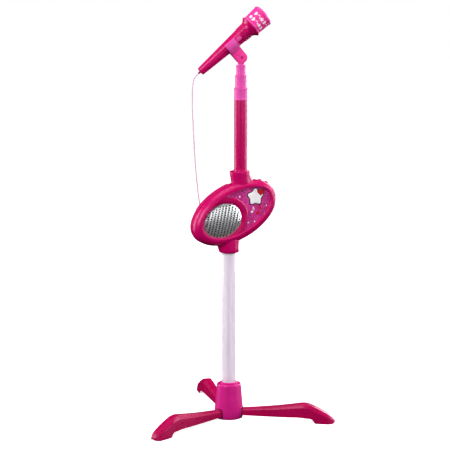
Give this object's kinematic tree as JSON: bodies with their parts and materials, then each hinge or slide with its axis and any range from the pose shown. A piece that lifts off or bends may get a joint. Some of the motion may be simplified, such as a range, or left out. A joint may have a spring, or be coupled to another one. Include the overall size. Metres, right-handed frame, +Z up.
{
  "type": "toy microphone on a floor stand",
  "caption": "Toy microphone in a swivelling clip on a telescopic stand with an oval speaker box, a clear light tube and a three-legged base.",
  "frame": {"origin": "centre of the base hub on the floor", "axes": "+Z up along the light tube, -Y the way the speaker box faces, +X towards the mast's offset side"},
  "size_m": [0.4636, 0.4222, 1.0032],
  "materials": {
    "magenta_shell": "polished injection-moulded magenta plastic",
    "hub_plastic": "semi-gloss purple-magenta plastic",
    "light_pink": "satin bubble-gum pink plastic",
    "hot_pink": "semi-gloss hot pink plastic",
    "dark_magenta": "gloss dark magenta plastic",
    "clear_tube": "clear extruded plastic with a lilac tint",
    "chrome_grille": "plated perforated sheet",
    "leg_magenta": "deep magenta moulded plastic",
    "panel_print": "glitter pink printed panel under clear lacquer",
    "lamp_lens": "frosted pink lens",
    "steel": "zinc-plated steel",
    "magnet": "grey ferrite and steel",
    "cone_paper": "black paper cone",
    "inner_plastic": "black inner mouldings",
    "board_green": "solder-masked circuit board",
    "cells": "plain dry cell wrapper",
    "cord_pink": "soft lilac-pink vinyl jacket",
    "wire": "thin grey insulated wire"
  },
  "bodies": {
    "stand": {"base_hub": "hub_plastic", "base_cover": "hub_plastic", "base_screws": "steel", "leg_right": "leg_magenta", "leg_rear": "leg_magenta", "leg_left": "leg_magenta", "light_tube": "clear_tube", "tube_reflector": "lamp_lens", "light_wire": "wire", "tube_lamp": "lamp_lens", "front_shell": "magenta_shell", "rear_shell": "magenta_shell", "speaker_bezel": "dark_magenta", "speaker_grille": "chrome_grille", "graphic_panel": "panel_print", "power_lamp": "lamp_lens", "speaker_basket": "steel", "speaker_cone": "cone_paper", "speaker_magnet": "magnet", "battery_tray": "inner_plastic", "battery_cells": "cells", "battery_contacts": "steel", "battery_door": "magenta_shell", "battery_door_screw": "steel", "shell_screws": "steel", "circuit_board": "board_green", "board_components": "inner_plastic", "edge_bar": "magenta_shell", "cord_grommet": "dark_magenta", "upper_tube": "dark_magenta", "mast_seat_ring": "magenta_shell", "mast_collar": "light_pink"},
    "mast_middle": {"mast_middle_stage": "light_pink"},
    "mast_top": {"mast_top_stage": "light_pink"},
    "holder": {"swivel_stem": "light_pink", "pivot_pin": "hot_pink"},
    "clip": {"microphone_clip": "hot_pink"},
    "microphone": {"handle_front_half": "magenta_shell", "handle_rear_half": "magenta_shell", "handle_screws": "steel", "head_cup": "hot_pink", "head_dome": "light_pink", "capsule_mount": "inner_plastic", "microphone_capsule": "steel", "switch_body": "inner_plastic", "cord_strain_relief": "dark_magenta", "microphone_cord": "cord_pink"},
    "switch": {"switch_slider": "light_pink"},
    "play_button": {"play_button": "magenta_shell"},
    "volume_button": {"volume_button": "magenta_shell"}
  },
  "joints": [
    {"name": "mast_lower_slide", "type": "slide", "parent": "stand", "child": "mast_middle", "axis": [0, 0, 1], "range_m": [0, 0.08], "deforming": ["microphone_cord"]},
    {"name": "mast_upper_slide", "type": "slide", "parent": "mast_middle", "child": "mast_top", "axis": [0, 0, 1], "range_m": [0, 0.08], "deforming": ["microphone_cord"]},
    {"name": "holder_swivel", "type": "hinge", "parent": "mast_top", "child": "holder", "pos_m": [0.031, 0, 0.868], "axis": [0, 0, 1], "range_deg": [-90, 90], "deforming": ["microphone_cord"]},
    {"name": "clip_tilt", "type": "hinge", "parent": "holder", "child": "clip", "pos_m": [0.031, 0, 0.8828], "axis": [-0.1908, -0.9816, 0], "range_deg": [-35, 30], "deforming": ["microphone_cord"]},
    {"name": "microphone_lift_out", "type": "slide", "parent": "clip", "child": "microphone", "axis": [0.7408, -0.144, 0.6561], "range_m": [0, 0.12], "deforming": ["microphone_cord"]},
    {"name": "microphone_switch", "type": "slide", "parent": "microphone", "child": "switch", "axis": [0.7408, -0.144, 0.6561], "range_m": [0, 0.004]},
    {"name": "play_button_press", "type": "slide", "parent": "stand", "child": "play_button", "axis": [-0.2229, 0, -0.9748], "range_m": [0, 0.0015], "stiffness_N_per_m": 400, "springref_m": -0.0008},
    {"name": "volume_button_press", "type": "slide", "parent": "stand", "child": "volume_button", "axis": [-0.4646, 0, -0.8855], "range_m": [0, 0.0015], "stiffness_N_per_m": 400, "springref_m": -0.0008}
  ]
}
